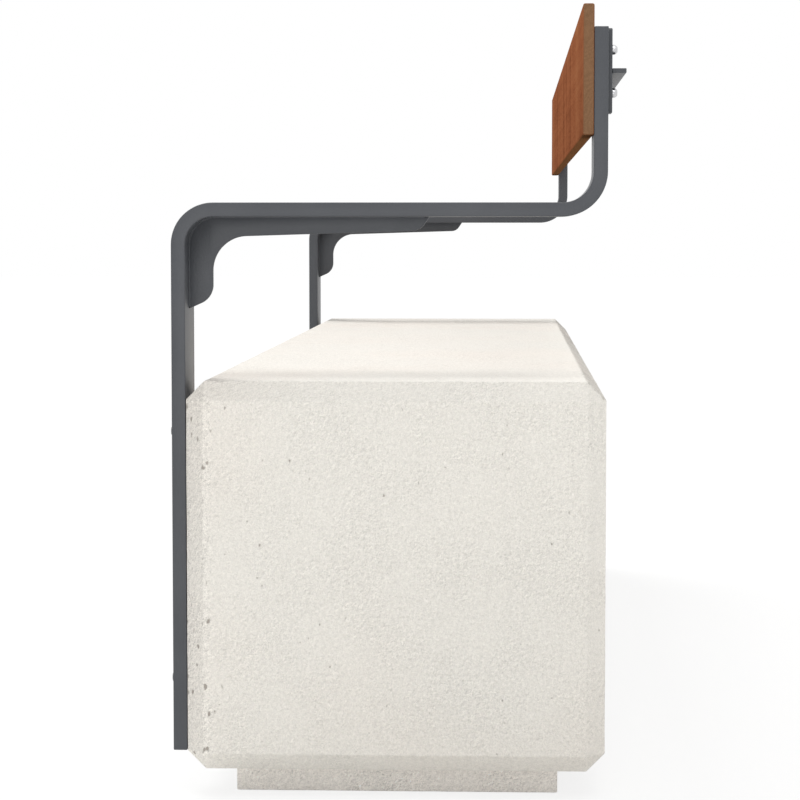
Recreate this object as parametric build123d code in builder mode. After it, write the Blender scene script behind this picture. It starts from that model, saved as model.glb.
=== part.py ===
from build123d import *
import math
import os

# Concrete bench with bent steel arms, a timber backrest board and a steel back rail.
# X runs along the bench, the sitter looks along -Y and +Z is up. The origin is the centre
# of the plinth's underside. Sizes are in millimetres.

# Concrete block and plinth
block_length = 2000.0
block_depth = 450.0
block_height = 420.0
block_chamfer = 20.0
plinth_height = 30.0
plinth_inset = 50.0

# Arm bars, each bent from one flat bar
bar_width = 80.0
bar_thickness = 15.0
bar_edge_break = 1.0
front_bend_radius = 30.0
rear_bend_radius = 33.0
arm_height = 190.0
back_rise = 185.0

# Gussets welded inside the front bends
gusset_thickness = 6.0
gusset_leg_width = 26.0
gusset_drop = 99.0
gusset_reach = 260.0
gusset_root_depth = 22.0
gusset_end_depth = 15.0
gusset_throat_radius = 37.0
gusset_toe_rise = 11.5
gusset_toe_radius = 22.0
gusset_tip_run = 10.0
gusset_tip_radius = 16.0

# Bolts that hold the arm bars to the block
bolt_diameter = 10.0
bolt_engagement = 25.0
bolt_head_diameter = 17.5
bolt_head_height = 5.5
bolt_head_rim = 1.6
bolt_key_size = 6.0
bolt_key_depth = 3.2
bolt_drop = 57.0
bolt_pitch = 270.0
bolt_hole_play = 1.0

# Threaded sockets cast in for the bolts, and the reinforcing bars behind them
socket_size = 17.0
socket_length = 32.0
anchor_size = 60.0
anchor_thickness = 5.0
rebar_diameter = 8.0
rebar_gap = 9.0
rebar_end_cover = 40.0

# Backrest board
board_height = 138.0
board_thickness = 12.0
board_edge_break = 1.5
board_rise = 24.0

# Back rail, a strip with upright lugs for the screws, a stiffening rib along it and a packer
rail_height = 30.0
rail_thickness = 5.0
lug_height = 90.0
lug_width = 30.0
rib_depth = 15.0
rib_thickness = 5.0
rib_edge_break = 0.8

# Screws that clamp rail, bars and packer to the board, and the inserts that they bite in
screw_diameter = 6.0
screw_head_diameter = 10.5
screw_head_height = 5.8
screw_head_rim = 2.6
screw_key_size = 4.0
screw_key_depth = 3.0
screw_pitch = 46.0
screw_hole_play = 0.6
screw_tip_gap = 1.0
insert_diameter = 9.0
insert_skin = 3.0
key_land = 0.8

# Planes and lines that several pieces share
front_face = -block_depth / 2
back_face = block_depth / 2
seat_z = plinth_height + block_height
bar_outer_x = block_length / 2 - block_chamfer
bar_x = bar_outer_x - bar_width / 2
bar_foot_z = plinth_height + block_chamfer
arm_top_z = seat_z + arm_height
arm_under_z = arm_top_z - bar_thickness
bar_top_z = arm_top_z + back_rise
board_back = back_face - bar_thickness
board_z = bar_top_z + board_rise - board_height / 2
rail_z = bar_top_z - lug_height / 2
rail_back = back_face + rail_thickness
rail_length = 2 * bar_x + lug_width

# Bolts stand in pairs on the middle lines of the bars
bolt_heights = (seat_z - bolt_drop, seat_z - bolt_drop - bolt_pitch)
bolt_points = [(x, z) for x in (-bar_x, bar_x) for z in bolt_heights]
anchor_plane_y = front_face + socket_length

# The reinforcing bars pass just behind the sockets' anchor plates
rebar_inset = socket_length + anchor_thickness + rebar_gap + rebar_diameter / 2

# Screws stand in pairs, on the bars and on the packer between them
screw_heights = (rail_z - screw_pitch / 2, rail_z + screw_pitch / 2)
bar_screw_points = [(x, z) for x in (-bar_x, bar_x) for z in screw_heights]
packer_screw_points = [(0, z) for z in screw_heights]
screw_points = bar_screw_points + packer_screw_points
screw_hole_radius = (screw_diameter + screw_hole_play) / 2
insert_length = board_thickness - insert_skin
screw_length = rail_thickness + bar_thickness + insert_length - screw_tip_gap

# Turns that point a screw's head to the front and to the back of the bench
TO_FRONT = (90, 0, 0)
TO_BACK = (-90, 0, 0)

os.makedirs("parts", exist_ok=True)


def save(part, name):
    """Labels a finished piece and writes it under its name."""
    part.label = name
    export_step(part, f"parts/{name}.step")


def front_plane(y):
    """Plane across the bench at depth y: its own axes are X and Z, its normal is -Y."""
    return Plane.XZ.offset(-y)


def key_screw(diameter, length, head_diameter, head_height, head_rim, key_size, key_depth):
    """Screw along Z with a six-sided key recess: head above Z = 0, shank below."""
    land_radius = key_size / math.sqrt(3) + key_land
    with BuildPart() as screw:
        with BuildSketch(Plane.XZ):
            with BuildLine():
                Polyline(
                    (0, head_height),
                    (land_radius, head_height),
                    (head_diameter / 2, head_rim),
                    (head_diameter / 2, 0),
                    (diameter / 2, 0),
                    (diameter / 2, -length),
                    (0, -length),
                    close=True,
                )
            make_face()
        revolve(axis=Axis.Z)
        with BuildSketch(Plane.XY.offset(head_height)):
            RegularPolygon(key_size / 2, 6, major_radius=False)
        extrude(amount=-key_depth, mode=Mode.SUBTRACT)
    return screw.part


# Plinth, set back under the block on all sides
with BuildPart() as base_plinth:
    Box(
        block_length - 2 * plinth_inset,
        block_depth - 2 * plinth_inset,
        plinth_height,
        align=(Align.CENTER, Align.CENTER, Align.MIN),
    )
save(base_plinth.part, "base_plinth")

# Straight reinforcing bars along the four edges of the block
with BuildPart() as reinforcing_bars:
    with BuildSketch(Plane.YZ.offset(rebar_end_cover - block_length / 2)):
        with Locations((0, plinth_height + block_height / 2)):
            with GridLocations(block_depth - 2 * rebar_inset, block_height - 2 * rebar_inset, 2, 2):
                Circle(rebar_diameter / 2)
    extrude(amount=block_length - 2 * rebar_end_cover)
save(reinforcing_bars.part, "reinforcing_bars")

# Anchor plates, welded across the inner ends of the sockets
with BuildPart() as socket_anchor_plates:
    with BuildSketch(front_plane(anchor_plane_y)):
        with Locations(*bolt_points):
            Rectangle(anchor_size, anchor_size)
    extrude(amount=-anchor_thickness)
save(socket_anchor_plates.part, "socket_anchor_plates")

# Six-sided threaded sockets, flush with the front of the block
with BuildPart() as frame_sockets:
    with BuildSketch(front_plane(front_face)) as socket_outline:
        with Locations(*bolt_points):
            RegularPolygon(socket_size / 2, 6, major_radius=False)
    extrude(amount=-socket_length)
    with BuildSketch(front_plane(front_face)):
        with Locations(*bolt_points):
            Circle(bolt_diameter / 2)
    extrude(amount=-socket_length, mode=Mode.SUBTRACT)
save(frame_sockets.part, "frame_sockets")

# Seat block, with the concrete left out where the cast-in steel lies
with BuildPart() as seat_block:
    with Locations((0, 0, plinth_height)):
        Box(
            block_length,
            block_depth,
            block_height,
            align=(Align.CENTER, Align.CENTER, Align.MIN),
        )
    chamfer(seat_block.edges(), block_chamfer)
    extrude(socket_outline.sketch, amount=-socket_length, mode=Mode.SUBTRACT)
    add(socket_anchor_plates.part, mode=Mode.SUBTRACT)
    add(reinforcing_bars.part, mode=Mode.SUBTRACT)
save(seat_block.part, "seat_block")

# Arm bars and their gussets, one of each at either end
for side, sign in (("left", 1), ("right", -1)):
    bar_plane = Plane.YZ.offset(sign * bar_x)

    with BuildPart() as arm_bar:
        with BuildSketch(bar_plane):
            with BuildLine():
                FilletPolyline(
                    (front_face, bar_foot_z),
                    (front_face, arm_under_z),
                    (back_face, arm_under_z),
                    (back_face, bar_top_z),
                    radius=(front_bend_radius, rear_bend_radius + bar_thickness),
                )
                offset(amount=bar_thickness, side=Side.LEFT)
            make_face()
        extrude(amount=bar_width / 2, both=True)
        chamfer(arm_bar.faces().filter_by(Axis.X).edges(), bar_edge_break)
        with BuildSketch(front_plane(front_face)):
            with Locations(*bolt_points):
                Circle((bolt_diameter + bolt_hole_play) / 2)
        extrude(amount=bar_thickness, mode=Mode.SUBTRACT)
        with BuildSketch(front_plane(back_face)):
            with Locations(*bar_screw_points):
                Circle(screw_hole_radius)
        extrude(amount=bar_thickness, mode=Mode.SUBTRACT)
    save(arm_bar.part, f"{side}_arm_bar")

    with BuildPart() as arm_gusset:
        with BuildSketch(bar_plane) as gusset_outline:
            with BuildLine():
                leg_edge = front_face + gusset_leg_width
                arm_end = front_face + gusset_reach
                toe = Line(
                    (front_face, arm_under_z - gusset_drop),
                    (leg_edge, arm_under_z - gusset_drop + gusset_toe_rise),
                )
                upright = Line(toe @ 1, (leg_edge, arm_under_z - gusset_root_depth))
                lower_edge = Line(upright @ 1, (arm_end - gusset_tip_run, arm_under_z - gusset_end_depth))
                under_arm = Polyline(
                    lower_edge @ 1,
                    (arm_end, arm_under_z),
                    (front_face + front_bend_radius, arm_under_z),
                )
                in_bend = JernArc(under_arm @ 1, (-1, 0), front_bend_radius, 90)
                Line(in_bend @ 1, toe @ 0)
            make_face()
            for corner, radius in (
                (toe @ 1, gusset_toe_radius),
                (upright @ 1, gusset_throat_radius),
                (lower_edge @ 1, gusset_tip_radius),
            ):
                fillet(gusset_outline.vertices().sort_by_distance(corner)[0], radius)
        extrude(amount=gusset_thickness / 2, both=True)
    save(arm_gusset.part, f"{side}_arm_gusset")

# Bolts through the arm bars into the sockets
bolt = key_screw(
    bolt_diameter,
    bar_thickness + bolt_engagement,
    bolt_head_diameter,
    bolt_head_height,
    bolt_head_rim,
    bolt_key_size,
    bolt_key_depth,
)
with BuildPart() as frame_bolts:
    with Locations(*[Location((x, front_face - bar_thickness, z), TO_FRONT) for x, z in bolt_points]):
        add(bolt)
save(frame_bolts.part, "frame_bolts")

# Threaded inserts, let into the back of the board
with BuildPart() as board_inserts:
    with BuildSketch(front_plane(board_back)) as insert_outline:
        with Locations(*screw_points):
            Circle(insert_diameter / 2)
    extrude(amount=insert_length)
    with BuildSketch(front_plane(board_back)):
        with Locations(*screw_points):
            Circle(screw_diameter / 2)
    extrude(amount=insert_length, mode=Mode.SUBTRACT)
save(board_inserts.part, "board_inserts")

# Backrest board, flush with the outer edges of the arm bars
with BuildPart() as backrest_board:
    with Locations((0, board_back, board_z)):
        Box(
            2 * bar_outer_x,
            board_thickness,
            board_height,
            align=(Align.CENTER, Align.MAX, Align.CENTER),
        )
    chamfer(backrest_board.edges(), board_edge_break)
    extrude(insert_outline.sketch, amount=insert_length, mode=Mode.SUBTRACT)
save(backrest_board.part, "backrest_board")

# Packer that carries the board off the rail's middle lug
with BuildPart() as rail_packer:
    with BuildSketch(front_plane(back_face)):
        with Locations((0, rail_z)):
            Rectangle(lug_width, lug_height)
        with Locations(*packer_screw_points):
            Circle(screw_hole_radius, mode=Mode.SUBTRACT)
    extrude(amount=bar_thickness)
save(rail_packer.part, "rail_packer")

# Back rail plate, a strip whose lugs end level with the tops of the arm bars
with BuildPart() as rail_plate:
    with BuildSketch(front_plane(rail_back)):
        with Locations((0, rail_z)):
            Rectangle(rail_length, rail_height)
        with Locations(*[(x, rail_z) for x in (-bar_x, 0, bar_x)]):
            Rectangle(lug_width, lug_height)
    extrude(amount=rail_thickness)
    with BuildSketch(front_plane(rail_back)):
        with Locations(*screw_points):
            Circle(screw_hole_radius)
    extrude(amount=rail_thickness, mode=Mode.SUBTRACT)
save(rail_plate.part, "rail_plate")

# Rib along the middle of the rail
with BuildPart() as rail_rib:
    with Locations((0, rail_back, rail_z)):
        Box(
            rail_length,
            rib_depth,
            rib_thickness,
            align=(Align.CENTER, Align.MIN, Align.CENTER),
        )
    chamfer(rail_rib.faces().sort_by(Axis.Y)[-1].edges(), rib_edge_break)
save(rail_rib.part, "rail_rib")

# Screws through rail and bars or packer into the board's inserts
screw = key_screw(
    screw_diameter,
    screw_length,
    screw_head_diameter,
    screw_head_height,
    screw_head_rim,
    screw_key_size,
    screw_key_depth,
)
with BuildPart() as rail_screws:
    with Locations(*[Location((x, rail_back, z), TO_BACK) for x, z in screw_points]):
        add(screw)
save(rail_screws.part, "rail_screws")
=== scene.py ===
import logging
import math
import random
from contextlib import contextmanager
from dataclasses import dataclass, field
from enum import Enum
from typing import Any, Callable, Iterator, Sequence, Union

import bmesh
import bpy
from mathutils import Matrix, Vector


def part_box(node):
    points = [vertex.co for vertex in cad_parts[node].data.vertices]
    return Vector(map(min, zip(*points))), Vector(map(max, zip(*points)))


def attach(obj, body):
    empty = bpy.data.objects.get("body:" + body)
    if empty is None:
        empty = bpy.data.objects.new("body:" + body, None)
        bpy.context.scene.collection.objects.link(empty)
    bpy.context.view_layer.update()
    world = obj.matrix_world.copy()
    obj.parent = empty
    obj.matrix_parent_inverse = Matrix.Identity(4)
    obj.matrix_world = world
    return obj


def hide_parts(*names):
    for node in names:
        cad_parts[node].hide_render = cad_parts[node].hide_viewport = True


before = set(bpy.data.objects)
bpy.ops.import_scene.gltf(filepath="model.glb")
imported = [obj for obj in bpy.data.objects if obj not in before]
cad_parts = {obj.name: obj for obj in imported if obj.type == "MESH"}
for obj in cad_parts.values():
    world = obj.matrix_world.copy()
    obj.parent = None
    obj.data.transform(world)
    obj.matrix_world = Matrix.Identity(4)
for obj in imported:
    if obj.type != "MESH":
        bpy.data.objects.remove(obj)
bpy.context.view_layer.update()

logging.basicConfig(level=logging.INFO, format="%(message)s")
LOG = logging.getLogger("bench")

Colour = tuple[float, float, float, float]
Feed = Union["Field", float, Sequence[float]]
QUARTER_TURN = math.pi / 2
# Least share of a normal or of an edge that counts as running along an axis.
ALONG = 0.9


class Slot(Enum):
    """The record's material slots of the pieces that are modelled here."""

    CONCRETE = "concrete"
    COATED_STEEL = "powder_coated_steel"
    HARDWOOD = "hardwood"
    STAINLESS = "stainless_steel"


class End(Enum):
    """The two ends of the bench, named as the sitter sees them."""

    LEFT = "left"
    RIGHT = "right"

    def node(self, piece: str) -> str:
        """Name of this end's own node of a paired piece."""
        return f"{self.value}_{piece}"


class Field:
    """A value on a node sheet. Sums on it add Math nodes to that sheet."""

    def __init__(self, sheet: "Sheet", socket: bpy.types.NodeSocket) -> None:
        """Keeps the socket and the sheet that it belongs to."""
        self.sheet = sheet
        self.socket = socket

    def _math(self, operation: str, first: Feed, second: Feed) -> "Field":
        """Adds one Math node."""
        return self.sheet.node("ShaderNodeMath", {"operation": operation}, {0: first, 1: second})

    def __add__(self, other: Feed) -> "Field":
        """Sum of two values."""
        return self._math("ADD", self, other)

    def __radd__(self, other: Feed) -> "Field":
        """Sum with a plain number on the left."""
        return self._math("ADD", other, self)

    def __sub__(self, other: Feed) -> "Field":
        """Difference of two values."""
        return self._math("SUBTRACT", self, other)

    def __rsub__(self, other: Feed) -> "Field":
        """Difference with a plain number on the left."""
        return self._math("SUBTRACT", other, self)

    def __mul__(self, other: Feed) -> "Field":
        """Product of two values."""
        return self._math("MULTIPLY", self, other)

    def __abs__(self) -> "Field":
        """Size of a value without its sign."""
        return self._math("ABSOLUTE", self, 0.0)

    def larger(self, other: Feed) -> "Field":
        """The larger of two values."""
        return self._math("MAXIMUM", self, other)


class Sheet:
    """The node sheet of a material or of the world."""

    def __init__(self, owner: Union[bpy.types.Material, bpy.types.World]) -> None:
        """Clears the owner's nodes and keeps its tree."""
        owner.use_nodes = True
        self.tree = owner.node_tree
        self.tree.nodes.clear()

    def node(
        self,
        kind: str,
        settings: dict[str, Any] | None = None,
        feeds: dict[Union[int, str], Feed] | None = None,
        out: Union[int, str] = 0,
    ) -> Field:
        """Adds one node.

        Args:
            kind: Blender's name of the node's type.
            settings: Properties that are set first, with "stops" for a colour ramp.
            feeds: Values or links of the node's inputs, by name or number.
            out: Output that the result wraps.

        Returns:
            The chosen output.
        """
        node = self.tree.nodes.new(kind)
        for name, value in (settings or {}).items():
            if name == "stops":
                self._set_stops(node.color_ramp, value)
            else:
                setattr(node, name, value)
        for key, feed in (feeds or {}).items():
            if isinstance(feed, Field):
                self.tree.links.new(feed.socket, node.inputs[key])
            else:
                node.inputs[key].default_value = feed
        return Field(self, node.outputs[out] if node.outputs else None)

    @staticmethod
    def _set_stops(ramp: bpy.types.ColorRamp, stops: Sequence[tuple[float, Colour]]) -> None:
        """Gives a colour ramp its stops."""
        while len(ramp.elements) < len(stops):
            ramp.elements.new(1.0)
        for element, (place, colour) in zip(ramp.elements, stops):
            element.position = place
            element.color = colour

    def place(self) -> Field:
        """Object coordinates, in metres in the bench's own frame."""
        return self.node("ShaderNodeTexCoord", out="Object")

    def stretch(self, place: Field, scale: Sequence[float], shift: Sequence[float] = (0, 0, 0)) -> Field:
        """Coordinates stretched and shifted by a Mapping node."""
        return self.node("ShaderNodeMapping", {}, {"Vector": place, "Scale": scale, "Location": shift})

    def noise(
        self, place: Field, scale: float, detail: float = 2.0, rough: float = 0.5, twist: float = 0.0
    ) -> Field:
        """Cloudy noise from 0 to 1.

        Args:
            place: Coordinates.
            scale: Lumps per metre.
            detail: Octaves of finer noise.
            rough: Share that each finer octave keeps.
            twist: How much the lumps are drawn out into curls.

        Returns:
            The noise value.
        """
        feeds = {"Vector": place, "Scale": scale, "Detail": detail, "Roughness": rough, "Distortion": twist}
        return self.node("ShaderNodeTexNoise", {}, feeds)

    def spread(self, value: Field, low: float, high: float, start: float = 0.0, end: float = 1.0) -> Field:
        """Maps low..high to start..end and clamps it there."""
        feeds = {"Value": value, "From Min": low, "From Max": high, "To Min": start, "To Max": end}
        return self.node("ShaderNodeMapRange", {"interpolation_type": "SMOOTHSTEP"}, feeds)

    def blend(self, share: Feed, first: Feed, second: Feed, how: str = "MIX") -> Field:
        """Mixes two colours: share 0 gives the first, share 1 the second."""
        settings = {"data_type": "RGBA", "blend_type": how}
        return self.node("ShaderNodeMix", settings, {0: share, 6: first, 7: second}, out=2)

    def bump(self, height: Field, depth: float, strength: float = 1.0) -> Field:
        """Normal of a surface whose relief is height times depth, in metres."""
        return self.node("ShaderNodeBump", {}, {"Height": height, "Distance": depth, "Strength": strength})

    def surface(self, **feeds: Feed) -> None:
        """Ends a material in a Principled surface; an underscore in a name stands for a space."""
        named = {name.replace("_", " "): feed for name, feed in feeds.items()}
        skin = self.node("ShaderNodeBsdfPrincipled", {}, named)
        self.node("ShaderNodeOutputMaterial", {}, {"Surface": skin})


def new_sheet(name: str) -> tuple[bpy.types.Material, Sheet]:
    """Makes an empty material and returns it with its sheet."""
    material = bpy.data.materials.new(name)
    return material, Sheet(material)


@dataclass(frozen=True)
class ConcreteFinish:
    """Etched off-white concrete: sandy grain with painted light and shade on it, faint warm clouds, pitted
    front corners whose hollows carry painted shade, and painted shade specks along the rear top edge.
    """

    name: str = "etched_concrete"
    cement: Colour = (0.720, 0.694, 0.643, 1)
    warm: Colour = (0.732, 0.688, 0.631, 1)
    rough: float = 1.0
    # Painted shade: the dark colour of the hollows and of the rear edge specks.
    painted_hollow_shade: Colour = (0.36, 0.328, 0.288, 1)
    lumps_per_m: float = 230.0
    grain_per_m: float = 430.0
    sand_per_m: float = 900.0
    pits_per_m: float = 150.0
    rear_shade_specks_per_m: float = 290.0
    painted_relief_per_m: float = 240.0
    # Shift between the two noise copies whose difference paints light and shade on the grains.
    painted_light_side: tuple[float, float, float] = (-0.0002, -0.0003, 0.0004)
    relief: float = 0.0030
    coarseness: tuple[float, float] = (0.75, 1.15)
    painted_hollow_shade_odds: float = 0.965
    corner_odds: float = 0.28
    # The front corners' chamfers have this |x| - y, and the rear top chamfer has this y + z.
    corner_line: float = 1.205
    corner_band: tuple[float, float] = (0.014, 0.002)
    rear_line: float = 0.655
    rear_band: tuple[float, float] = (0.0030, 0.0008)
    rear_rag: float = 0.006

    def make(self) -> bpy.types.Material:
        """Builds the material."""
        material, sheet = new_sheet(self.name)
        place = sheet.place()
        clouds = sheet.noise(place, 6.0, 3.0, 0.6)
        patches = sheet.noise(sheet.stretch(place, (1, 1, 1), (3.1, 1.7, 0.4)), 2.6, 2.0, 0.5)
        lumps = sheet.noise(place, self.lumps_per_m, 1.0, 0.5, 0.2)
        grain = sheet.noise(place, self.grain_per_m, 2.0, 0.6, 0.4)
        sand = sheet.noise(place, self.sand_per_m, 2.0, 0.6)
        coarse = sheet.spread(sheet.noise(place, 14.0, 3.0, 0.6), 0.35, 0.65, *self.coarseness)
        # Painted light and shade that makes the grains look raised, stronger in coarse patches.
        painted_relief = self._paint_relief_shading(sheet, place) * sheet.spread(coarse, *self.coarseness, 0.55, 1.35)
        x, y, z = (sheet.node("ShaderNodeSeparateXYZ", {}, {0: place}, axis) for axis in "XYZ")
        corner = self._near(sheet, abs(x) - y, self.corner_line, self.corner_band)
        # Band along the rear top chamfer that takes painted shade specks.
        rear = self._near(sheet, y + z + (lumps - 0.5) * self.rear_rag, self.rear_line, self.rear_band)
        pits_and_rear_shade = self._pits(sheet, place, lumps, corner).larger(self._rear_painted_shade(sheet, place, rear))
        tone = sheet.blend(sheet.spread(patches, 0.35, 0.70), self.cement, self.warm)
        # The grain's own tone together with the painted light and shade of the raised-looking grains.
        grain_and_painted_relief = painted_relief * 0.60 + (lumps - 0.5) * 0.14 + (grain - 0.5) * 0.24 + (sand - 0.5) * 0.40
        shade = 0.98 + clouds * 0.04 + grain_and_painted_relief * (corner * 0.9 + self.rough)
        tone = sheet.blend(1.0, tone, self._grey(sheet, shade), "MULTIPLY")
        # Painted shade: the hollows and the rear edge specks take the dark colour.
        tone = sheet.blend(pits_and_rear_shade, tone, self.painted_hollow_shade)
        height = (lumps * 0.70 + grain * 0.45) * coarse + sand * 0.10 - pits_and_rear_shade * 0.25
        sheet.surface(
            Base_Color=tone,
            Roughness=0.74 + grain * 0.16,
            Normal=sheet.bump(height, self.relief, 0.9),
        )
        return material

    @staticmethod
    def _near(sheet: Sheet, value: Field, line: float, band: tuple[float, float]) -> Field:
        """Rises from 0 to 1 while a value crosses the band just short of a line."""
        return sheet.spread(value, line - band[0], line - band[1])

    def _paint_relief_shading(self, sheet: Sheet, place: Field) -> Field:
        """Painted light and shade on grains: one side paler than the other, as if lit from that side, so
        they look raised in even light too.
        """
        lit, lee = (
            sheet.stretch(place, (1, 1, 1), tuple(side * step for step in self.painted_light_side))
            for side in (1, -1)
        )
        return self._grains(sheet, lee) - self._grains(sheet, lit)

    def _grains(self, sheet: Sheet, place: Field) -> Field:
        """The noise that the painted relief is made of."""
        return sheet.noise(place, self.painted_relief_per_m, 3.5, 0.72, 0.5)

    def _pits(self, sheet: Sheet, place: Field, lumps: Field, corner: Field) -> Field:
        """Small uneven hollows, a few on the faces and more along the front corners; their dark colour is
        painted shade.
        """
        cells = {"Vector": sheet.stretch(place, (1.0, 1.0, 0.6)), "Scale": self.pits_per_m}
        near = sheet.node("ShaderNodeTexVoronoi", {}, cells, "Distance")
        lot = sheet.node("ShaderNodeTexVoronoi", {}, cells, "Color")
        chance = sheet.node("ShaderNodeSeparateColor", {}, {0: lot}, 0)
        odds = chance + corner * self.corner_odds
        radius = sheet.spread(odds, self.painted_hollow_shade_odds, 1.25, 0.05, 0.27)
        rim = near - radius + (lumps - 0.5) * 0.7
        chosen = sheet.spread(odds, self.painted_hollow_shade_odds, self.painted_hollow_shade_odds + 0.01)
        return sheet.spread(rim, -0.16, 0.10, 1.0, 0.0) * chosen

    def _rear_painted_shade(self, sheet: Sheet, place: Field, rear: Field) -> Field:
        """Painted shade along the rear top edge: dark specks in uneven patches."""
        specks = sheet.noise(sheet.stretch(place, (0.7, 1.0, 1.0)), self.rear_shade_specks_per_m, 2.0, 0.65)
        patchy = sheet.spread(sheet.noise(place, 7.0, 5.0, 0.7), 0.30, 0.62, 0.40, 1.0)
        return rear * patchy * sheet.spread(specks, 0.48, 0.64, 0.80, 0.0)

    @staticmethod
    def _grey(sheet: Sheet, shade: Field) -> Field:
        """Turns a value into a grey colour."""
        return sheet.node("ShaderNodeCombineColor", {}, {0: shade, 1: shade, 2: shade})


@dataclass(frozen=True)
class CoatedSteelFinish:
    """Satin anthracite powder coat with a fine orange peel."""

    name: str = "anthracite_coat"
    coat: Colour = (0.056, 0.060, 0.068, 1)
    dusty: Colour = (0.068, 0.072, 0.080, 1)
    peel_per_m: float = 520.0
    relief: float = 0.00022

    def make(self) -> bpy.types.Material:
        """Builds the material."""
        material, sheet = new_sheet(self.name)
        place = sheet.place()
        dust = sheet.noise(place, 9.0, 4.0, 0.6)
        peel = sheet.noise(place, self.peel_per_m, 2.0, 0.5)
        sheet.surface(
            Base_Color=sheet.blend(sheet.spread(dust, 0.35, 0.75), self.coat, self.dusty),
            Roughness=0.34 + dust * 0.12 + peel * 0.06,
            Normal=sheet.bump(peel, self.relief, 0.7),
            IOR=1.45,
        )
        return material


@dataclass(frozen=True)
class HardwoodFinish:
    """Oiled reddish hardwood sawn along the bench, with greyer end grain and painted shade on faces that
    look down.
    """

    name: str = "oiled_hardwood"
    pale: Colour = (0.326, 0.136, 0.061, 1)
    mid: Colour = (0.245, 0.084, 0.0375, 1)
    dark: Colour = (0.122, 0.0385, 0.0178, 1)
    # Painted shade colour for the board's underside.
    damp: Colour = (0.105, 0.052, 0.022, 1)
    end_pale: Colour = (0.214, 0.118, 0.064, 1)
    end_dark: Colour = (0.166, 0.090, 0.048, 1)
    heart: tuple[float, float, float] = (0.0, -0.36, -0.64)
    rings_per_m: float = 190.0
    relief: float = 0.00035

    def make(self) -> bpy.types.Material:
        """Builds the material."""
        material, sheet = new_sheet(self.name)
        place = sheet.place()
        along = sheet.stretch(place, (1.6, 11.0, 11.0))
        wander = sheet.noise(along, 2.0, 3.0, 0.5)
        core = sheet.stretch(place, (0.02, 1, 1), self.heart)
        radius = sheet.node("ShaderNodeVectorMath", {"operation": "LENGTH"}, {0: core}, "Value")
        turn = (radius + wander * 0.060) * self.rings_per_m
        rings = sheet.node("ShaderNodeMath", {"operation": "SINE"}, {0: turn * 2.0 * math.pi}) * 0.5 + 0.5
        fibres = sheet.noise(sheet.stretch(place, (7.0, 420.0, 420.0)), 1.0, 3.0, 0.65)
        vessels = sheet.noise(sheet.stretch(place, (38.0, 900.0, 900.0)), 1.0, 1.0, 0.4)
        mottle = sheet.noise(sheet.stretch(place, (6.5, 2.5, 2.5)), 1.0, 3.0, 0.6)
        streak = sheet.noise(sheet.stretch(place, (1.1, 60.0, 60.0)), 1.0, 2.0, 0.5)
        figure = rings * 0.08 + fibres * 0.26 + mottle * 0.86 + streak * 0.30
        stops = [(0.32, self.dark), (0.62, self.mid), (1.0, self.pale)]
        side = sheet.node("ShaderNodeValToRGB", {"stops": stops}, {0: figure - 0.12})
        open_grain = sheet.spread(vessels, 0.66, 0.78)
        side = sheet.blend(open_grain * 0.45, side, self.dark)
        dots = sheet.noise(sheet.stretch(place, (60.0, 700.0, 700.0)), 1.0, 2.0, 0.6)
        end = sheet.blend(sheet.spread(rings * 0.15 + dots * 0.85, 0.25, 0.75), self.end_pale, self.end_dark)
        facing = sheet.node("ShaderNodeNewGeometry", out="True Normal")
        cut = abs(sheet.node("ShaderNodeSeparateXYZ", {}, {0: facing}, "X"))
        # Painted shade: faces that look down are darkened towards the underside colour.
        under = sheet.node("ShaderNodeSeparateXYZ", {}, {0: facing}, "Z") * -1.0
        side = sheet.blend(sheet.spread(under, 0.55, 0.9, 0.0, 0.85), side, self.damp)
        tone = sheet.blend(sheet.spread(cut, 0.55, 0.85), side, end)
        height = fibres * 0.6 + rings * 0.2 - open_grain * 0.6
        sheet.surface(
            Base_Color=tone,
            Roughness=0.56 + fibres * 0.20,
            Normal=sheet.bump(height, self.relief, 0.7),
            Specular_IOR_Level=0.0,
        )
        return material


@dataclass(frozen=True)
class MetalFinish:
    """Bare or plated metal with soft blotches and fine scratches."""

    name: str
    light: Colour
    dark: Colour
    roughness: float
    metallic: float = 1.0
    relief: float = 0.00003

    def make(self) -> bpy.types.Material:
        """Builds the material."""
        material, sheet = new_sheet(self.name)
        place = sheet.place()
        blotch = sheet.noise(place, 120.0, 3.0, 0.6)
        scratch = sheet.noise(sheet.stretch(place, (300.0, 2600.0, 2600.0)), 1.0, 2.0, 0.5)
        sheet.surface(
            Base_Color=sheet.blend(sheet.spread(blotch, 0.3, 0.7), self.light, self.dark),
            Roughness=self.roughness + scratch * 0.12,
            Metallic=self.metallic,
            Normal=sheet.bump(scratch, self.relief, 0.5),
        )
        return material


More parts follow.
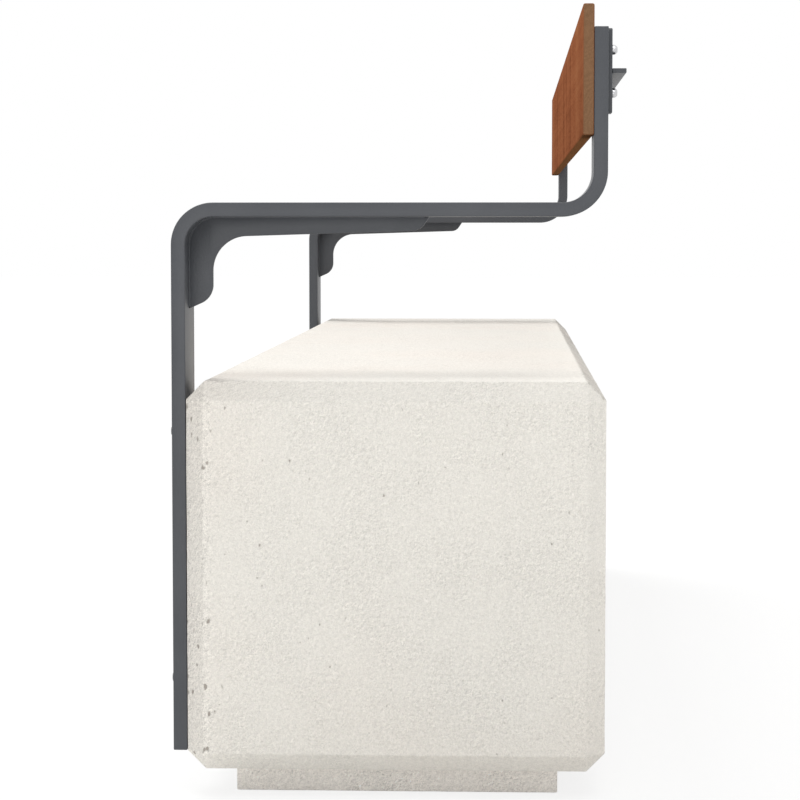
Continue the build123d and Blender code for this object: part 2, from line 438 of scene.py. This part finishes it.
@dataclass(frozen=True)
class Finishes:
    """Every material of the bench, made once."""

    concrete: bpy.types.Material
    plinth: bpy.types.Material
    coat: bpy.types.Material
    hardwood: bpy.types.Material
    stainless: bpy.types.Material
    zinc: bpy.types.Material
    rebar: bpy.types.Material
    brass: bpy.types.Material

    @classmethod
    def mix(cls) -> "Finishes":
        """Makes the materials."""
        return cls(
            concrete=ConcreteFinish().make(),
            # Painted light: the plinth's concrete is paler than the block's, to lift the shade under the
            # block's overhang.
            plinth=ConcreteFinish(
                name="plinth_concrete_painted_lift",
                cement=(0.900, 0.862, 0.812, 1),
                warm=(0.905, 0.855, 0.800, 1),
                rough=1.7,
            ).make(),
            coat=CoatedSteelFinish().make(),
            hardwood=HardwoodFinish().make(),
            stainless=MetalFinish("stainless", (0.66, 0.66, 0.67, 1), (0.56, 0.56, 0.57, 1), 0.24).make(),
            zinc=MetalFinish("zinc_plate", (0.52, 0.53, 0.54, 1), (0.40, 0.41, 0.42, 1), 0.38).make(),
            rebar=MetalFinish("mill_scale", (0.17, 0.12, 0.09, 1), (0.10, 0.07, 0.06, 1), 0.62, 0.6).make(),
            brass=MetalFinish("insert_brass", (0.60, 0.45, 0.20, 1), (0.48, 0.34, 0.14, 1), 0.30).make(),
        )


def deselect() -> None:
    """Deselects every object."""
    bpy.ops.object.select_all(action="DESELECT")


def take(obj: bpy.types.Object) -> bpy.types.Object:
    """Makes one object the only selected and active one."""
    deselect()
    obj.select_set(True)
    bpy.context.view_layer.objects.active = obj
    return obj


def bake_place(obj: bpy.types.Object) -> bpy.types.Object:
    """Moves the object's place, turn and scale into its mesh."""
    take(obj)
    bpy.ops.object.transform_apply(location=True, rotation=True, scale=True)
    return obj


@contextmanager
def editing(obj: bpy.types.Object, pick: str = "FACE") -> Iterator[None]:
    """Edit mode on one object, with nothing selected at the start.

    Args:
        obj: The mesh object.
        pick: What is selected there: VERT, EDGE or FACE.
    """
    take(obj)
    bpy.ops.object.mode_set(mode="EDIT")
    bpy.ops.mesh.select_mode(type=pick)
    bpy.ops.mesh.select_all(action="DESELECT")
    yield
    bpy.ops.object.mode_set(mode="OBJECT")


def choose(obj: bpy.types.Object, part: str, wanted: Callable[[Any], bool]) -> int:
    """Selects elements of the mesh in edit mode.

    Args:
        obj: The object in edit mode.
        part: Which elements are tested: verts, edges or faces.
        wanted: Test of one element.

    Returns:
        How many were selected.
    """
    bpy.ops.mesh.select_all(action="DESELECT")
    mesh = bmesh.from_edit_mesh(obj.data)
    getattr(mesh, part).index_update()
    picked = [element for element in getattr(mesh, part) if wanted(element)]
    for element in picked:
        element.select_set(True)
    mesh.select_flush_mode()
    bmesh.update_edit_mesh(obj.data)
    return len(picked)


def add_block(name: str, low: Vector, high: Vector) -> bpy.types.Object:
    """Adds a cube primitive stretched to a box.

    Args:
        name: Name of the object.
        low: Lowest corner.
        high: Highest corner.

    Returns:
        The new object, with its place in its mesh.
    """
    deselect()
    middle = (Vector(low) + Vector(high)) / 2
    bpy.ops.mesh.primitive_cube_add(size=1, location=middle, scale=Vector(high) - Vector(low))
    obj = bpy.context.object
    obj.name = name
    return bake_place(obj)


def finish_with(obj: bpy.types.Object, kind: str, **settings: Any) -> None:
    """Adds a modifier, sets it and applies it."""
    take(obj)
    modifier = obj.modifiers.new(kind.lower(), kind)
    for name, value in settings.items():
        setattr(modifier, name, value)
    bpy.ops.object.modifier_apply(modifier=modifier.name)


def soften(obj: bpy.types.Object, radius: float, steps: int = 3, sharp: float = 30.0) -> None:
    """Rounds the sharp edges and smooths the shading across gentle ones.

    Args:
        obj: The mesh object.
        radius: Radius of the rounding.
        steps: Faces across each rounding.
        sharp: Least angle between two faces that counts as sharp, in degrees.
    """
    with editing(obj, "EDGE"):
        bpy.ops.mesh.edges_select_sharp(sharpness=math.radians(sharp))
        bpy.ops.mesh.bevel(offset=radius, segments=steps, affect="EDGES")
    smooth(obj)


def smooth(obj: bpy.types.Object, angle: float = 40.0) -> None:
    """Smooth shading on gentle edges only."""
    take(obj)
    bpy.ops.object.shade_smooth_by_angle(angle=math.radians(angle))


def push(x: float = 0.0, y: float = 0.0, z: float = 0.0) -> None:
    """Extrudes the selected faces by a step."""
    bpy.ops.mesh.extrude_region_move(TRANSFORM_OT_translate={"value": (x, y, z)})


def settle(obj: bpy.types.Object, material: bpy.types.Material, slot: Slot, *nodes: str) -> None:
    """Dresses a finished piece and fixes it to the bench.

    Args:
        obj: The piece.
        material: Its material.
        slot: The record's slot that the finish belongs to; not used.
        nodes: Solids that the piece stands for.
    """
    obj.data.materials.clear()
    obj.data.materials.append(material)
    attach(obj, "root")
    if nodes:
        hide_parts(*nodes)
    LOG.info("%s: %d faces", obj.name, len(obj.data.polygons))


@dataclass
class CastConcrete:
    """A cast block with soft arrises, uneven faces and open pores."""

    node: str
    chamfer: float = 0.0
    arris: float = 0.0010
    cell: float = 0.010
    straight: float = 0.999
    unevenness: float = 0.0005
    # Size of the lumps of each layer of dents, and the layer's share of the unevenness.
    dents: tuple[tuple[float, float], ...] = ((0.060, 1.0), (0.016, 0.7))
    dent_octaves: int = 2
    # Radius and number of each kind of pore.
    pores: tuple[tuple[float, int], ...] = ()
    # Inset and depth of each step into a pore, as shares of its radius.
    pore_steps: tuple[tuple[float, float], ...] = ((0.28, 0.40), (0.30, 0.18))
    pore_scatter: float = 0.30
    least_edge: float = 0.6
    edge_band: float = 0.045
    edge_weight: float = 3.0
    # pale: the plinth takes the paler concrete, painted light against the shade under the overhang.
    pale: bool = False
    seed: int = 5

    def build(self, finishes: Finishes) -> None:
        """Models the block and dresses it."""
        low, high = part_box(self.node)
        block = add_block(f"{self.node}_cast", low, high)
        with editing(block, "EDGE"):
            for width, steps in ((self.chamfer, 1), (self.arris, 2)):
                if width:
                    bpy.ops.mesh.select_all(action="SELECT")
                    bpy.ops.mesh.bevel(offset=width, segments=steps, affect="EDGES")
            for axis in range(3):
                self._slice(block, axis, high[axis] - low[axis])
        self._weather(block)
        with editing(block, "VERT"):
            self._open_pores(block, Vector(low), Vector(high))
        smooth(block, angle=10.0)
        # The paler plinth concrete is painted light.
        finish = finishes.plinth if self.pale else finishes.concrete
        settle(block, finish, Slot.CONCRETE, self.node)

    def _slice(self, block: bpy.types.Object, axis: int, length: float) -> None:
        """Cuts the edges along one axis into cells, in two passes."""
        cuts = max(1, round(math.sqrt(length / self.cell)) - 1)

        def runs_along(edge: bmesh.types.BMEdge) -> bool:
            step = edge.verts[1].co - edge.verts[0].co
            return abs(step[axis]) > self.straight * step.length and step.length > 2 * self.cell

        for _ in range(2):
            choose(block, "edges", runs_along)
            bpy.ops.mesh.subdivide(number_cuts=cuts)

    def _open_pores(self, block: bpy.types.Object, low: Vector, high: Vector) -> None:
        """Opens round pits at random corners of the cells, more of them near the edges."""
        draw = random.Random(self.seed)

        def weight(vertex: bmesh.types.BMVert) -> float:
            edges = vertex.link_edges
            if len(edges) != 4 or min(edge.calc_length() for edge in edges) < self.least_edge * self.cell:
                return 0.0
            gaps = sorted(min(vertex.co[i] - low[i], high[i] - vertex.co[i]) for i in range(3))
            return self.edge_weight if gaps[1] < self.edge_band else 1.0

        mesh = bmesh.from_edit_mesh(block.data)
        corners = sorted((tuple(vertex.co), weight(vertex)) for vertex in mesh.verts)
        corners = [corner for corner in corners if corner[1]]
        for radius, count in self.pores:
            picked = {place for place, _ in draw.choices(corners, [share for _, share in corners], k=count)}
            corners = [corner for corner in corners if corner[0] not in picked]
            bpy.ops.mesh.select_mode(type="VERT")
            choose(block, "verts", lambda vertex: tuple(vertex.co) in picked)
            bpy.ops.mesh.bevel(offset=radius, affect="VERTICES", segments=2, profile=0.5)
            bpy.ops.mesh.select_mode(type="FACE")
            for inset, depth in self.pore_steps:
                bpy.ops.mesh.inset(thickness=inset * radius, depth=-depth * radius)
            self._scatter(block, draw, self.pore_scatter * radius)

    @staticmethod
    def _scatter(block: bpy.types.Object, draw: random.Random, reach: float) -> None:
        """Moves the selected corners a little, in the order of their places so that each run agrees."""
        mesh = bmesh.from_edit_mesh(block.data)
        picked = [vertex for vertex in mesh.verts if vertex.select]
        for vertex in sorted(picked, key=lambda vertex: tuple(round(value, 6) for value in vertex.co)):
            way = Vector([draw.gauss(0, 1) for _ in range(3)]).normalized()
            vertex.co += way * draw.uniform(0, reach)
        bmesh.update_edit_mesh(block.data)

    def _weather(self, block: bpy.types.Object) -> None:
        """Dents the faces inwards a little, never past the mould."""
        for size, share in self.dents:
            lumps = bpy.data.textures.new("cast_lumps", "CLOUDS")
            lumps.noise_scale = size
            lumps.noise_depth = self.dent_octaves
            finish_with(
                block,
                "DISPLACE",
                texture=lumps,
                texture_coords="LOCAL",
                mid_level=1.0,
                strength=share * self.unevenness,
            )


@dataclass
class ArmFrame:
    """One bent arm bar with the gusset and the weld beads inside its front bend."""

    end: End
    bar_thickness: float = 0.015
    front_radius: float = 0.030
    rear_radius: float = 0.033
    edge_round: float = 0.0011
    gusset_round: float = 0.0007
    bend_steps: int = 20
    bead_radius: float = 0.0009
    bead_step: float = 0.0024
    bead_sides: int = 8
    # Depth of the bead in the corner, and what it leaves free on the leg and on the arm, in radii.
    bead_sink: float = 0.35
    bead_margins: tuple[float, float] = (2.0, 6.0)
    bead_swell: float = 1.10
    bead_wobble: float = 0.015
    seed: int = 11

    def build(self, finishes: Finishes) -> None:
        """Models the bar, the gusset and two beads, and dresses them."""
        low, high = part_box(self.end.node("arm_bar"))
        plate_low, plate_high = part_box(self.end.node("arm_gusset"))
        bar = self._bar(Vector(low), Vector(high), plate_high[2])
        settle(bar, finishes.coat, Slot.COATED_STEEL, self.end.node("arm_bar"))
        gusset = self._gusset()
        settle(gusset, finishes.coat, Slot.COATED_STEEL, self.end.node("arm_gusset"))
        for number, x in enumerate((plate_low[0], plate_high[0]), 1):
            bead = self._bead(number, x, Vector(plate_low), Vector(plate_high))
            settle(bead, finishes.coat, Slot.COATED_STEEL)

    def _bar(self, low: Vector, high: Vector, under_arm: float) -> bpy.types.Object:
        """Bends the bar: up the front, back along the arm and up behind the seat."""
        inner = low.y + self.bar_thickness
        rear_bend = self.rear_radius + self.bar_thickness
        middle = (low.x + high.x) / 2
        deselect()
        bpy.ops.mesh.primitive_plane_add(size=1, location=(middle, (low.y + inner) / 2, low.z))
        bar = bpy.context.object
        bar.name = self.end.node("bent_bar")
        bar.scale = (high.x - low.x, self.bar_thickness, 1)
        bake_place(bar)
        with editing(bar):
            bpy.ops.mesh.select_all(action="SELECT")
            bend_z = under_arm - self.front_radius
            push(z=bend_z - low.z)
            self._turn(QUARTER_TURN, (middle, inner + self.front_radius, bend_z))
            push(y=high.y - rear_bend - inner - self.front_radius)
            self._turn(-QUARTER_TURN, (middle, high.y - rear_bend, under_arm + rear_bend))
            push(z=high.z - under_arm - rear_bend)
            bpy.ops.mesh.select_all(action="SELECT")
            bpy.ops.mesh.normals_make_consistent(inside=False)
        soften(bar, self.edge_round)
        return bar

    def _turn(self, angle: float, centre: tuple[float, float, float]) -> None:
        """Spins the selected end about a level axis across the bar."""
        bpy.ops.mesh.spin(steps=self.bend_steps, angle=angle, center=centre, axis=(1, 0, 0))

    def _gusset(self) -> bpy.types.Object:
        """Takes the plate's own outline, merges it and rounds its edges."""
        take(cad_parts[self.end.node("arm_gusset")])
        bpy.ops.object.duplicate()
        plate = bpy.context.object
        plate.name = self.end.node("gusset_plate")
        for key in [key for key in plate.keys() if key.startswith("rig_")]:
            del plate[key]
        plate.parent = None
        with editing(plate):
            bpy.ops.mesh.select_all(action="SELECT")
            bpy.ops.mesh.remove_doubles(threshold=1e-6)
            bpy.ops.mesh.dissolve_limited(angle_limit=math.radians(0.5))
        soften(plate, self.gusset_round, steps=2)
        return plate

    def _bead(self, number: int, x: float, low: Vector, high: Vector) -> bpy.types.Object:
        """Lays one weld bead up the leg, round the bend and along under the arm."""
        draw = random.Random(self.seed + number)
        sink = self.bead_sink * self.bead_radius
        leg_margin, arm_margin = (margin * self.bead_radius for margin in self.bead_margins)
        side = 1 if x > (low.x + high.x) / 2 else -1
        start = Vector((x + side * sink, low.y + sink, low.z + leg_margin))
        deselect()
        bpy.ops.mesh.primitive_circle_add(
            vertices=self.bead_sides,
            radius=self.bead_radius,
            fill_type="NGON",
            location=start,
        )
        bead = bpy.context.object
        bead.name = f"{self.end.node('gusset_bead')}_{number}"
        bake_place(bead)
        bend_z = high.z - self.front_radius
        arm_start = low.y + self.front_radius
        with editing(bead):
            bpy.ops.mesh.select_all(action="SELECT")
            self._lay(draw, (0, 0, 1), bend_z - start.z)
            self._turn(QUARTER_TURN, (start.x, arm_start, bend_z))
            self._lay(draw, (0, 1, 0), high.y - arm_margin - arm_start)
            bpy.ops.mesh.select_all(action="SELECT")
            bpy.ops.mesh.normals_make_consistent(inside=False)
        smooth(bead, angle=60.0)
        return bead

    def _lay(self, draw: random.Random, way: tuple[int, int, int], length: float) -> None:
        """Extrudes the bead in small uneven ripples."""
        ripples = max(2, 2 * round(length / self.bead_step / 2))
        step = Vector(way) * (length / ripples)
        across = Vector((1, 1, 1)) - Vector(way)
        for ripple in range(ripples):
            push(*step)
            swell = self.bead_swell if ripple % 2 == 0 else 1 / self.bead_swell
            if ripple < ripples - 1:
                swell *= draw.uniform(1 - self.bead_wobble, 1 + self.bead_wobble)
            bpy.ops.transform.resize(value=across * swell + Vector(way))


@dataclass
class Backrest:
    """The timber board and the steel rail behind it."""

    board_round: float = 0.0020
    plate_round: float = 0.0009
    rib_round: float = 0.0008
    strip_height: float = 0.030
    lug_width: float = 0.030
    lug_corner: float = 0.0025
    clear_of_strip: float = 0.001

    def build(self, finishes: Finishes) -> None:
        """Models board, rail plate, rib and packer, and dresses them."""
        board = self._slab("backrest_board", "planed_board", self.board_round)
        settle(board, finishes.hardwood, Slot.HARDWOOD, "backrest_board")
        rail = self._rail()
        settle(rail, finishes.coat, Slot.COATED_STEEL, "rail_plate")
        rib = self._slab("rail_rib", "rail_stiffener", self.rib_round)
        settle(rib, finishes.coat, Slot.COATED_STEEL, "rail_rib")
        packer = self._slab("rail_packer", "rail_packing_piece", self.plate_round)
        settle(packer, finishes.coat, Slot.COATED_STEEL, "rail_packer")

    def _rail(self) -> bpy.types.Object:
        """Models the strip and pulls its three lugs up and down out of it."""
        low, high = (Vector(corner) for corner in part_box("rail_plate"))
        middle = (low.z + high.z) / 2
        half = self.strip_height / 2
        rail = add_block("lugged_rail", (low.x, low.y, middle - half), (high.x, high.y, middle + half))
        inner = high.x - self.lug_width
        with editing(rail):
            for x in (-inner, -self.lug_width / 2, self.lug_width / 2, inner):
                bpy.ops.mesh.select_all(action="SELECT")
                bpy.ops.mesh.bisect(plane_co=(x, 0, 0), plane_no=(1, 0, 0))
            for way in (1, -1):
                choose(rail, "faces", lambda face: face.normal.z * way > ALONG and self._on_lug(face, inner))
                push(z=way * ((high.z - low.z) / 2 - half))
        with editing(rail, "EDGE"):
            choose(rail, "edges", lambda edge: self._at_lug_end(edge, middle))
            bpy.ops.mesh.bevel(offset=self.lug_corner, segments=4, affect="EDGES")
        soften(rail, self.plate_round)
        return rail

    def _on_lug(self, face: bmesh.types.BMFace, inner: float) -> bool:
        """Tells whether a face of the strip belongs to a lug."""
        x = abs(face.calc_center_median().x)
        return x < self.lug_width / 2 or x > inner

    def _at_lug_end(self, edge: bmesh.types.BMEdge, middle: float) -> bool:
        """Tells whether an edge runs through the plate at the end of a lug."""
        step = edge.verts[1].co - edge.verts[0].co
        off = abs(edge.verts[0].co.z - middle)
        return abs(step.y) > ALONG * step.length and off > self.strip_height / 2 + self.clear_of_strip

    @staticmethod
    def _slab(node: str, name: str, radius: float) -> bpy.types.Object:
        """Models a straight piece with rounded edges."""
        low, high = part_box(node)
        slab = add_block(name, low, high)
        soften(slab, radius)
        return slab


@dataclass
class DomedScrew:
    """A dome-headed screw with a six-sided key recess, modelled head up at the origin."""

    name: str
    diameter: float
    length: float
    head_diameter: float
    head_height: float
    head_rim: float
    key_size: float
    key_depth: float
    key_land: float = 0.0004
    edge_round: float = 0.00022
    sides: int = 36
    dome_steps: int = 7

    def model(self) -> bpy.types.Object:
        """Models one screw with its seat at the origin and its head towards +Z."""
        deselect()
        radius = self.head_diameter / 2
        bpy.ops.mesh.primitive_cylinder_add(
            vertices=self.sides,
            radius=radius,
            depth=self.head_rim,
            location=(0, 0, self.head_rim / 2),
        )
        screw = bpy.context.object
        screw.name = self.name
        bake_place(screw)
        land = self.key_size / math.sqrt(3) + self.key_land
        with editing(screw):
            choose(screw, "faces", lambda face: face.normal.z > ALONG)
            self._dome(radius, land)
            choose(screw, "faces", lambda face: face.normal.z < -ALONG)
            bpy.ops.mesh.inset(thickness=radius - self.diameter / 2)
            push(z=-self.length)
        self._cut_key(screw)
        soften(screw, self.edge_round, steps=2, sharp=40.0)
        return screw

    def _dome(self, radius: float, land: float) -> None:
        """Raises the selected top face in rings that follow a round dome."""
        rise = self.head_height - self.head_rim
        centre = (land ** 2 + rise ** 2 - radius ** 2) / (2 * rise)
        ball = math.hypot(radius, centre)
        last_radius, last_height = radius, 0.0
        for step in range(1, self.dome_steps + 1):
            ring = radius + (land - radius) * step / self.dome_steps
            height = centre + math.sqrt(ball ** 2 - ring ** 2)
            push(z=height - last_height)
            factor = ring / last_radius
            bpy.ops.transform.resize(value=(factor, factor, 1))
            last_radius, last_height = ring, height

    def _cut_key(self, screw: bpy.types.Object) -> None:
        """Cuts the six-sided recess into the head."""
        deselect()
        bpy.ops.mesh.primitive_cylinder_add(
            vertices=6,
            radius=self.key_size / math.sqrt(3),
            depth=2 * self.key_depth,
            location=(0, 0, self.head_height),
        )
        key = bpy.context.object
        finish_with(screw, "BOOLEAN", operation="DIFFERENCE", solver="EXACT", object=key)
        take(key)
        bpy.ops.object.delete()
        take(screw)

    def fit(self, seats: Sequence[Vector], facing: Vector) -> list[bpy.types.Object]:
        """Copies the screw to its seats.

        Args:
            seats: Points where the heads sit.
            facing: Direction that the heads face.

        Returns:
            One object for each seat.
        """
        first = self.model()
        turn = Vector((0, 0, 1)).rotation_difference(facing).to_matrix().to_4x4()
        fitted = []
        for number, seat in enumerate(seats, 1):
            take(first)
            bpy.ops.object.duplicate()
            copy = bpy.context.object
            copy.name = f"{self.name}_{number}"
            copy.matrix_world = Matrix.Translation(seat) @ turn
            fitted.append(bake_place(copy))
        take(first)
        bpy.ops.object.delete()
        return fitted


@dataclass
class Fasteners:
    """Bolts on the front of the bars and screws on the back of the rail."""

    bolt: DomedScrew = field(
        default_factory=lambda: DomedScrew(
            "frame_bolt",
            diameter=0.010,
            length=0.040,
            head_diameter=0.0175,
            head_height=0.0055,
            head_rim=0.0010,
            key_size=0.006,
            key_depth=0.003,
        )
    )
    screw: DomedScrew = field(
        default_factory=lambda: DomedScrew(
            "rail_screw",
            diameter=0.006,
            length=0.028,
            head_diameter=0.0105,
            head_height=0.0058,
            head_rim=0.0022,
            key_size=0.004,
            key_depth=0.003,
        )
    )

    def build(self, finishes: Finishes) -> None:
        """Fits the bolts and the screws where the solids have theirs."""
        low, high = (Vector(corner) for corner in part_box("frame_bolts"))
        radius = self.bolt.head_diameter / 2
        seats = self._grid(low, high, radius, low.y + self.bolt.head_height, 2)
        for bolt in self.bolt.fit(seats, Vector((0, -1, 0))):
            settle(bolt, finishes.coat, Slot.COATED_STEEL, "frame_bolts")
        low, high = (Vector(corner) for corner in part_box("rail_screws"))
        radius = self.screw.head_diameter / 2
        seats = self._grid(low, high, radius, high.y - self.screw.head_height, 3)
        for screw in self.screw.fit(seats, Vector((0, 1, 0))):
            settle(screw, finishes.stainless, Slot.STAINLESS, "rail_screws")

    @staticmethod
    def _grid(low: Vector, high: Vector, radius: float, y: float, columns: int) -> list[Vector]:
        """Seats in two rows and evenly spaced columns inside a box of heads."""
        first, last = low.x + radius, high.x - radius
        places = [first + (last - first) * column / (columns - 1) for column in range(columns)]
        return [Vector((x, y, z)) for x in places for z in (low.z + radius, high.z - radius)]


@dataclass
class CastInSteel:
    """Solids that stay as they are, inside the block and the board."""

    def build(self, finishes: Finishes) -> None:
        """Gives each hidden solid its metal."""
        metals = {
            "reinforcing_bars": finishes.rebar,
            "frame_sockets": finishes.zinc,
            "socket_anchor_plates": finishes.zinc,
            "board_inserts": finishes.brass,
        }
        for node, metal in metals.items():
            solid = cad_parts[node]
            solid.data.materials.clear()
            solid.data.materials.append(metal)
            LOG.info("%s: %s", node, metal.name)


@dataclass
class Studio:
    """Camera, floor and soft light."""

    eye: tuple[float, float, float] = (3.6805, 0.1208, 0.6093)
    yaw: float = 0.0429
    pitch: float = 0.0663
    lens: float = 114.29
    sensor: float = 36.0
    farthest: float = 200.0
    floor_size: float = 60.0
    floor_tone: Colour = (0.92, 0.92, 0.915, 1)
    floor_glow: float = 0.80
    sky_light: float = 0.64
    sun_way: tuple[float, float, float] = (-0.52, -0.44, 0.73)
    sun_power: float = 2.04
    sun_spread: float = 30.0
    target: tuple[float, float, float] = (0.95, 0.0, 0.3)
    box_place: tuple[float, float, float] = (2.6, 0.8, 3.9)
    box_size: float = 2.4
    box_power: float = 62.0
    card_place: tuple[float, float, float] = (4.2, -0.2, 0.12)
    card_size: float = 1.0
    card_power: float = 15.0

    def build(self) -> None:
        """Sets up the camera, the light and the floor."""
        self._camera()
        self._sky()
        self._sun()
        self._softbox("end_softbox", self.box_place, self.box_size, self.box_power)
        self._softbox("low_card", self.card_place, self.card_size, self.card_power)
        self._floor()
        bpy.context.scene.view_settings.view_transform = "Standard"

    def _camera(self) -> None:
        """Places the camera as the photograph was taken."""
        camera = bpy.data.objects.new("camera", bpy.data.cameras.new("camera"))
        bpy.context.scene.collection.objects.link(camera)
        level = math.cos(self.pitch)
        way = Vector((-math.cos(self.yaw) * level, -math.sin(self.yaw) * level, -math.sin(self.pitch)))
        camera.location = self.eye
        camera.rotation_euler = way.to_track_quat("-Z", "Y").to_euler()
        camera.data.lens = self.lens
        camera.data.sensor_width = self.sensor
        camera.data.clip_end = self.farthest
        bpy.context.scene.camera = camera

    def _sky(self) -> None:
        """White to the eye and in reflections, softer as light."""
        world = bpy.data.worlds.new("studio")
        bpy.context.scene.world = world
        sheet = Sheet(world)
        seen = self._seen(sheet)
        strength = seen + (1.0 - seen) * self.sky_light
        glow = sheet.node("ShaderNodeBackground", {}, {"Color": (1, 1, 1, 1), "Strength": strength})
        sheet.node("ShaderNodeOutputWorld", {}, {"Surface": glow})

    @staticmethod
    def _seen(sheet: Sheet) -> Field:
        """1 for what the eye, a gloss or clear glass sees, 0 for light on dull surfaces."""
        path = sheet.node("ShaderNodeLightPath", out="Is Camera Ray")
        gloss = sheet.node("ShaderNodeLightPath", out="Is Glossy Ray")
        clear = sheet.node("ShaderNodeLightPath", out="Is Transmission Ray")
        return path.larger(gloss).larger(clear)

    def _sun(self) -> None:
        """Adds a broad light from above, behind the far end."""
        lamp = bpy.data.lights.new("key_light", "SUN")
        lamp.energy = self.sun_power
        lamp.angle = math.radians(self.sun_spread)
        key = bpy.data.objects.new("key_light", lamp)
        bpy.context.scene.collection.objects.link(key)
        key.rotation_euler = (-Vector(self.sun_way)).to_track_quat("-Z", "Y").to_euler()

    def _softbox(self, name: str, place: Sequence[float], size: float, power: float) -> None:
        """Adds a square softbox that faces the near end of the bench."""
        lamp = bpy.data.lights.new(name, "AREA")
        lamp.shape = "SQUARE"
        lamp.size = size
        lamp.energy = power
        box = bpy.data.objects.new(name, lamp)
        bpy.context.scene.collection.objects.link(box)
        box.location = place
        box.rotation_euler = (Vector(self.target) - Vector(place)).to_track_quat("-Z", "Y").to_euler()

    def _floor(self) -> None:
        """Lays a plain pale floor that keeps the bench's shadow."""
        deselect()
        bpy.ops.mesh.primitive_plane_add(size=self.floor_size)
        floor = bpy.context.object
        floor.name = "floor"
        material, sheet = new_sheet("pale_floor")
        lit = sheet.node("ShaderNodeBsdfDiffuse", {}, {"Color": self.floor_tone})
        glow = sheet.node("ShaderNodeEmission", {}, {"Color": (1, 1, 1, 1), "Strength": 1.0})
        seen = self._seen(sheet)
        skin = sheet.node("ShaderNodeMixShader", {}, {0: seen * self.floor_glow, 1: lit, 2: glow})
        sheet.node("ShaderNodeOutputMaterial", {}, {"Surface": skin})
        floor.data.materials.append(material)


def main() -> None:
    """Builds the bench piece by piece."""
    finishes = Finishes.mix()
    pieces = (
        CastConcrete(
            "seat_block",
            chamfer=0.020,
            pores=((0.0011, 10), (0.0008, 36), (0.0006, 70)),
        ),
        CastConcrete("base_plinth", arris=0.0018, pores=((0.0010, 60),), pale=True, seed=9),
        ArmFrame(End.LEFT),
        ArmFrame(End.RIGHT),
        Backrest(),
        Fasteners(),
        CastInSteel(),
    )
    for piece in pieces:
        LOG.info("building %s", type(piece).__name__)
        piece.build(finishes)
    Studio().build()


if __name__ == "__main__":
    main()
